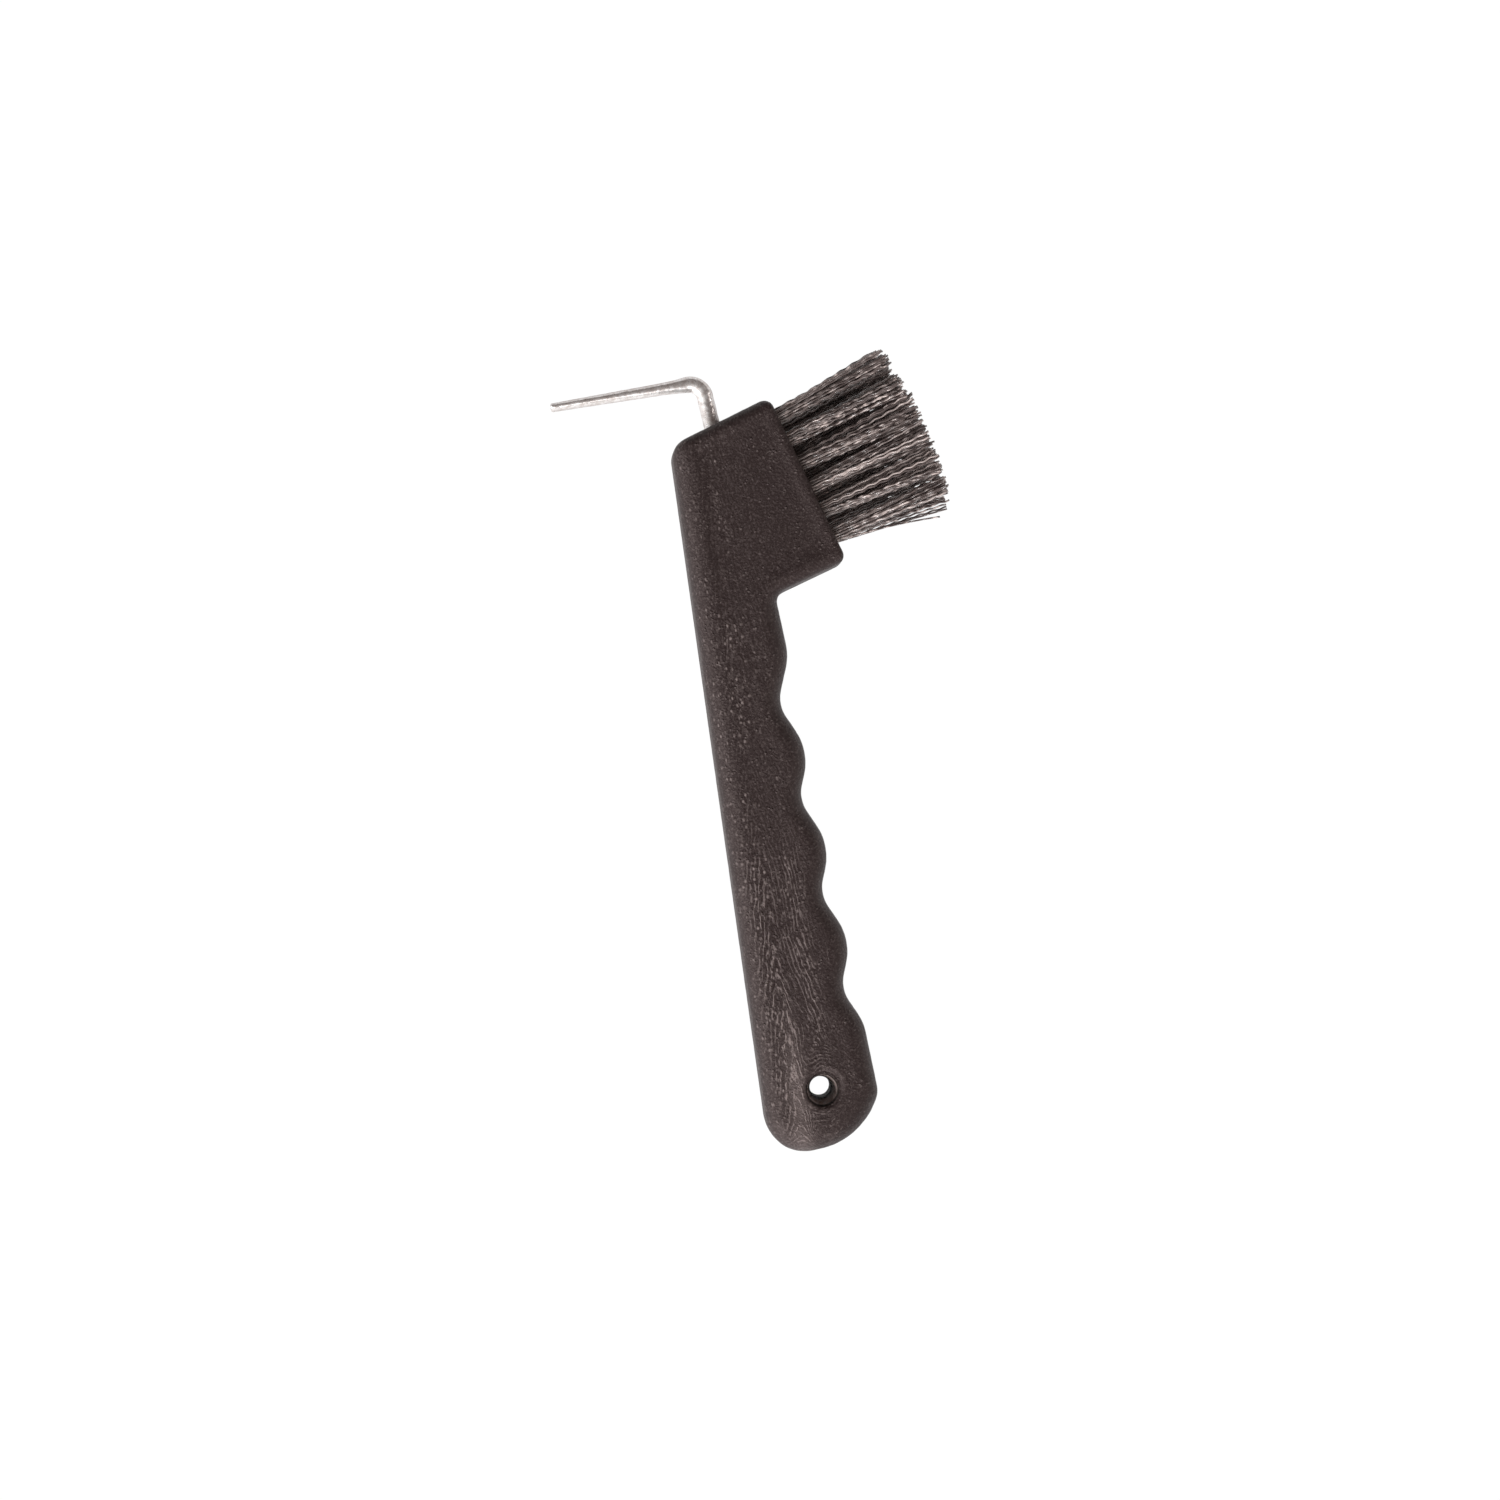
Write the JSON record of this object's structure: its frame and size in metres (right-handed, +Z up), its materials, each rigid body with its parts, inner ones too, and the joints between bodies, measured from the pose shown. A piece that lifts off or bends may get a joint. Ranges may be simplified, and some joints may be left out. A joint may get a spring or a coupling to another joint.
{
  "type": "hoof pick",
  "caption": "Hoof pick with a finger-grooved moulded grip, a flat-tipped steel hook leaving the head and a fanned stiff brush on the face behind it.",
  "frame": {"origin": "middle of the footprint of the whole tool, on the plane that it lies on", "axes": "+Y runs from the butt to the head, +X from the back edge to the brush, +Z up through the thickness with the tool lying on its side"},
  "size_m": [0.0905, 0.186, 0.021],
  "materials": {
    "grip_plastic": "foam-moulded, dark brown-black, faint flow marks",
    "hook_steel": "zinc-plated wire, dulled along one side",
    "bristle": "crimped stiff filament, satin gloss",
    "anchor_wire": "flat wire, sheared ends"
  },
  "bodies": {
    "root": {"handle": "grip_plastic", "hook": "hook_steel", "anchors_lower": "anchor_wire", "anchors_middle": "anchor_wire", "anchors_upper": "anchor_wire", "tuft_lower_1": "bristle", "tuft_lower_2": "bristle", "tuft_lower_3": "bristle", "tuft_lower_4": "bristle", "tuft_lower_5": "bristle", "tuft_lower_6": "bristle", "tuft_middle_1": "bristle", "tuft_middle_2": "bristle", "tuft_middle_3": "bristle", "tuft_middle_4": "bristle", "tuft_middle_5": "bristle", "tuft_upper_1": "bristle", "tuft_upper_2": "bristle", "tuft_upper_3": "bristle", "tuft_upper_4": "bristle", "tuft_upper_5": "bristle", "tuft_upper_6": "bristle"}
  },
  "joints": []
}
